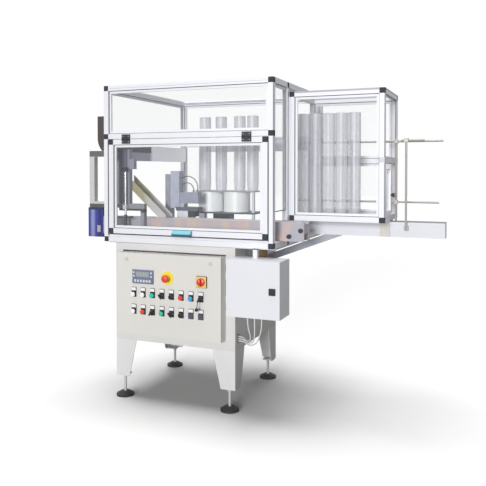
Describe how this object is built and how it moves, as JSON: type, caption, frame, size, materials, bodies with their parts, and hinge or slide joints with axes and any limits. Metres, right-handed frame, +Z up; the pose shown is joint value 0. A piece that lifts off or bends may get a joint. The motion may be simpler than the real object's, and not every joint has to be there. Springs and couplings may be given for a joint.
{
  "type": "bottle filling machine",
  "caption": "Bottle filling machine: framed clear guard on a legged cabinet with control panel, cup magazine annex on a conveyor beam, bottle lane, and a hung switch enclosure with cables.",
  "frame": {"origin": "underside of the front left foot pad, on the floor under the middle of its spindle", "axes": "+X to the right along the machine seen from its front, +Y to the back, +Z up"},
  "size_m": [2.0947, 1.103, 1.835],
  "materials": {
    "cabinet_paint": "satin light grey",
    "leg_paint": "satin light grey",
    "table_metal": "brushed",
    "profile_aluminium": "satin anodised",
    "connector_plastic": "matt dark slate",
    "clear_panel": "clear",
    "black_metal": "satin black",
    "handle_plastic": "matt",
    "panel_paint": "satin light grey",
    "lock_metal": "polished",
    "display_plastic": "matt grey-blue",
    "stop_plastic": "gloss red on yellow",
    "switch_plastic": "yellow plate with a red grip",
    "button_plastic": "mixed colours",
    "enclosure_paint": "satin pale grey",
    "lock_plastic": "matt black",
    "brace_paint": "satin grey-blue",
    "beam_aluminium": "satin",
    "belt_plastic": "matt",
    "rod_steel": "polished",
    "stand_steel": "brushed",
    "cup_plastic": "clear with ribs",
    "conveyor_steel": "brushed",
    "chain_plastic": "matt grey",
    "knob_plastic": "matt black",
    "drum_plastic": "translucent white",
    "frame_steel": "brushed",
    "chute_steel": "satin olive-grey",
    "station_steel": "satin",
    "tunnel_aluminium": "satin",
    "deflector_steel": "satin brown-grey",
    "guide_plastic": "translucent blue",
    "pad_rubber": "matt black",
    "spindle_chrome": "polished",
    "fitting_plastic": "matt grey",
    "cable_plastic": "matt pale grey"
  },
  "bodies": {
    "machine": {"annex_connectors": "connector_plastic", "annex_panels": "clear_panel", "annex_tubes": "profile_aluminium", "beam_brackets": "stand_steel", "bottle_conveyor": "conveyor_steel", "cabinet_body": "cabinet_paint", "cable_fittings": "fitting_plastic", "cable_left": "cable_plastic", "cable_middle": "cable_plastic", "cable_right": "cable_plastic", "chute": "chute_steel", "conveyor_chain": "chain_plastic", "conveyor_knobs": "knob_plastic", "cross_beam": "profile_aluminium", "deflector": "deflector_steel", "dispenser_drums": "drum_plastic", "dispenser_frame": "frame_steel", "enclosure_body": "enclosure_paint", "enclosure_post": "black_metal", "feed_column": "station_steel", "feed_rod": "rod_steel", "fixed_hinges": "black_metal", "foot_pads": "pad_rubber", "foot_spindles": "spindle_chrome", "guard_connectors": "connector_plastic", "guard_panels": "clear_panel", "guard_tubes": "profile_aluminium", "guide_rods": "rod_steel", "infeed_guide": "guide_plastic", "infeed_tunnel": "tunnel_aluminium", "inner_stacks": "cup_plastic", "leg_front_left": "leg_paint", "leg_front_right": "leg_paint", "leg_rear_left": "leg_paint", "leg_rear_right": "leg_paint", "magazine_beam": "beam_aluminium", "magazine_belt": "belt_plastic", "magazine_stacks": "cup_plastic", "overhang_bracket": "frame_steel", "rod_stands": "stand_steel", "side_panel_frame": "profile_aluminium", "side_panel_knob": "knob_plastic", "star_wheel": "knob_plastic", "support_brace": "brace_paint", "table_plate": "table_metal", "transfer_station": "station_steel"},
    "front_flap": {"flap_tubes": "profile_aluminium", "flap_connectors": "connector_plastic", "flap_window": "clear_panel", "flap_handle": "handle_plastic", "flap_hinge_lowers": "black_metal"},
    "panel_door": {"control_panel_door": "panel_paint", "panel_locks": "lock_metal", "display_unit": "display_plastic", "emergency_stop": "stop_plastic", "main_switch": "switch_plastic", "push_buttons": "button_plastic"},
    "enclosure_lid": {"enclosure_door": "enclosure_paint", "enclosure_lock": "lock_plastic"}
  },
  "joints": [
    {"name": "front_flap_hinge", "type": "hinge", "parent": "machine", "child": "front_flap", "pos_m": [0.4, -0.0748, 1.5215], "axis": [-1, 0, 0], "range_deg": [0, 95]},
    {"name": "panel_door_hinge", "type": "hinge", "parent": "machine", "child": "panel_door", "pos_m": [0.337, -0.033, 0.393], "axis": [1, 0, 0], "range_deg": [0, 90]},
    {"name": "enclosure_lid_hinge", "type": "hinge", "parent": "machine", "child": "enclosure_lid", "pos_m": [0.727, -0.1573, 0.72], "axis": [0, 0, -1], "range_deg": [0, 95]}
  ]
}
